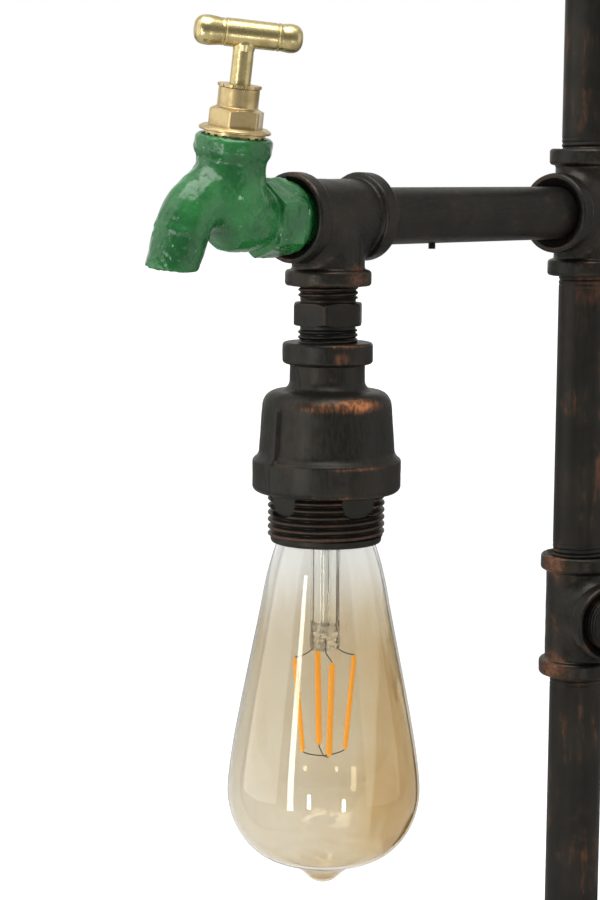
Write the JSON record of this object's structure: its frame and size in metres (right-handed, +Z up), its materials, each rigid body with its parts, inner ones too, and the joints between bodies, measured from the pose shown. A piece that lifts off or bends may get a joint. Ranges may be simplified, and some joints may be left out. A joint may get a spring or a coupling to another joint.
{
  "type": "wall lamp",
  "caption": "Wall lamp of dark pipe fittings: a swinging arm on a wall column carries a hanging screw-cap bulb in a bell holder, with a green tap at the front.",
  "frame": {"origin": "centre of the upper flange's bolt circle on its wall face", "axes": "+Z up, +Y into the wall, -Y the way the lamp stands out, +X right"},
  "size_m": [0.1085, 0.2952, 0.506],
  "materials": {
    "pipe_finish": "dark oiled bronze with rubbed copper streaks",
    "cast_finish": "dark oiled bronze on cast iron, copper on worn edges",
    "holder_finish": "dark oiled bronze, copper on the thread crests",
    "screw_steel": "blackened steel",
    "porcelain": "glazed porcelain",
    "contact_brass": "plain brass",
    "green_enamel": "thick glossy green enamel on a casting",
    "bonnet_brass": "turned brass, dull",
    "polished_brass": "polished brass",
    "rubber": "black rubber",
    "cap_black": "black glass insulator",
    "board": "circuit board",
    "amber_glass": "amber tinted glass",
    "clear_glass": "clear glass",
    "wire": "drawn wire",
    "filament": "orange coated filament"
  },
  "bodies": {
    "wall_frame": {"upper_flange": "cast_finish", "lower_flange": "cast_finish", "upper_wall_nipple": "pipe_finish", "lower_wall_nipple": "pipe_finish", "upper_elbow": "cast_finish", "lower_elbow": "cast_finish", "upper_column_pipe": "pipe_finish", "middle_column_pipe": "pipe_finish", "lower_column_pipe": "pipe_finish", "outlet_tee": "cast_finish", "outlet_pipe": "pipe_finish", "outlet_cap": "cast_finish"},
    "arm": {"arm_tee": "cast_finish", "arm_tube": "pipe_finish", "arm_set_screw": "screw_steel"},
    "head": {"head_tee": "cast_finish", "arm_spigot": "pipe_finish", "hex_nipple": "cast_finish", "bell_housing": "cast_finish", "holder_shell": "holder_finish", "holder_core": "porcelain", "screw_shell": "contact_brass", "centre_contact": "contact_brass", "terminal_screws": "contact_brass", "tap_body": "green_enamel", "tap_bonnet": "bonnet_brass", "tap_lock_ring": "bonnet_brass", "tap_gland_disc": "bonnet_brass", "tap_packing": "rubber"},
    "tap_valve": {"valve_jumper": "polished_brass", "valve_washer": "rubber"},
    "tap_crossbar": {"tap_spindle": "polished_brass", "tap_handle": "polished_brass"},
    "bulb_contact": {"bulb_contact_button": "contact_brass"},
    "bulb": {"bulb_cap": "contact_brass", "cap_insulator": "cap_black", "driver_board": "board", "bulb_glass": "amber_glass", "bulb_stem": "clear_glass", "lead_wires": "wire", "filaments": "filament", "filament_hook": "wire"}
  },
  "joints": [
    {"name": "arm_swing", "type": "hinge", "parent": "wall_frame", "child": "arm", "pos_m": [0, -0.065, -0.12], "axis": [0, 0, 1], "range_deg": [-90, 90]},
    {"name": "head_roll", "type": "hinge", "parent": "arm", "child": "head", "pos_m": [0, -0.2147, -0.12], "axis": [0, 1, 0], "range_deg": [-90, 90]},
    {"name": "spindle_rise", "type": "slide", "parent": "head", "child": "tap_valve", "axis": [0.1478, 0, 0.989], "range_m": [0, 0.00375]},
    {"name": "handle_turn", "type": "hinge", "parent": "tap_valve", "child": "tap_crossbar", "pos_m": [0, -0.2645, -0.12], "axis": [0.1478, 0, 0.989], "range_deg": [0, 540.2]},
    {"name": "bulb_drop", "type": "slide", "parent": "head", "child": "bulb_contact", "axis": [0, 0, -1], "range_m": [0, 0.0109]},
    {"name": "bulb_turn", "type": "hinge", "parent": "bulb_contact", "child": "bulb", "pos_m": [0, -0.2147, -0.12], "axis": [0, 0, -1], "range_deg": [0, 1080]}
  ],
  "couplings": [
    {"joint": "handle_turn", "follows": "spindle_rise", "rad_per_m": 2513.3},
    {"joint": "bulb_drop", "follows": "bulb_turn", "m_per_rad": 0.00057757}
  ]
}
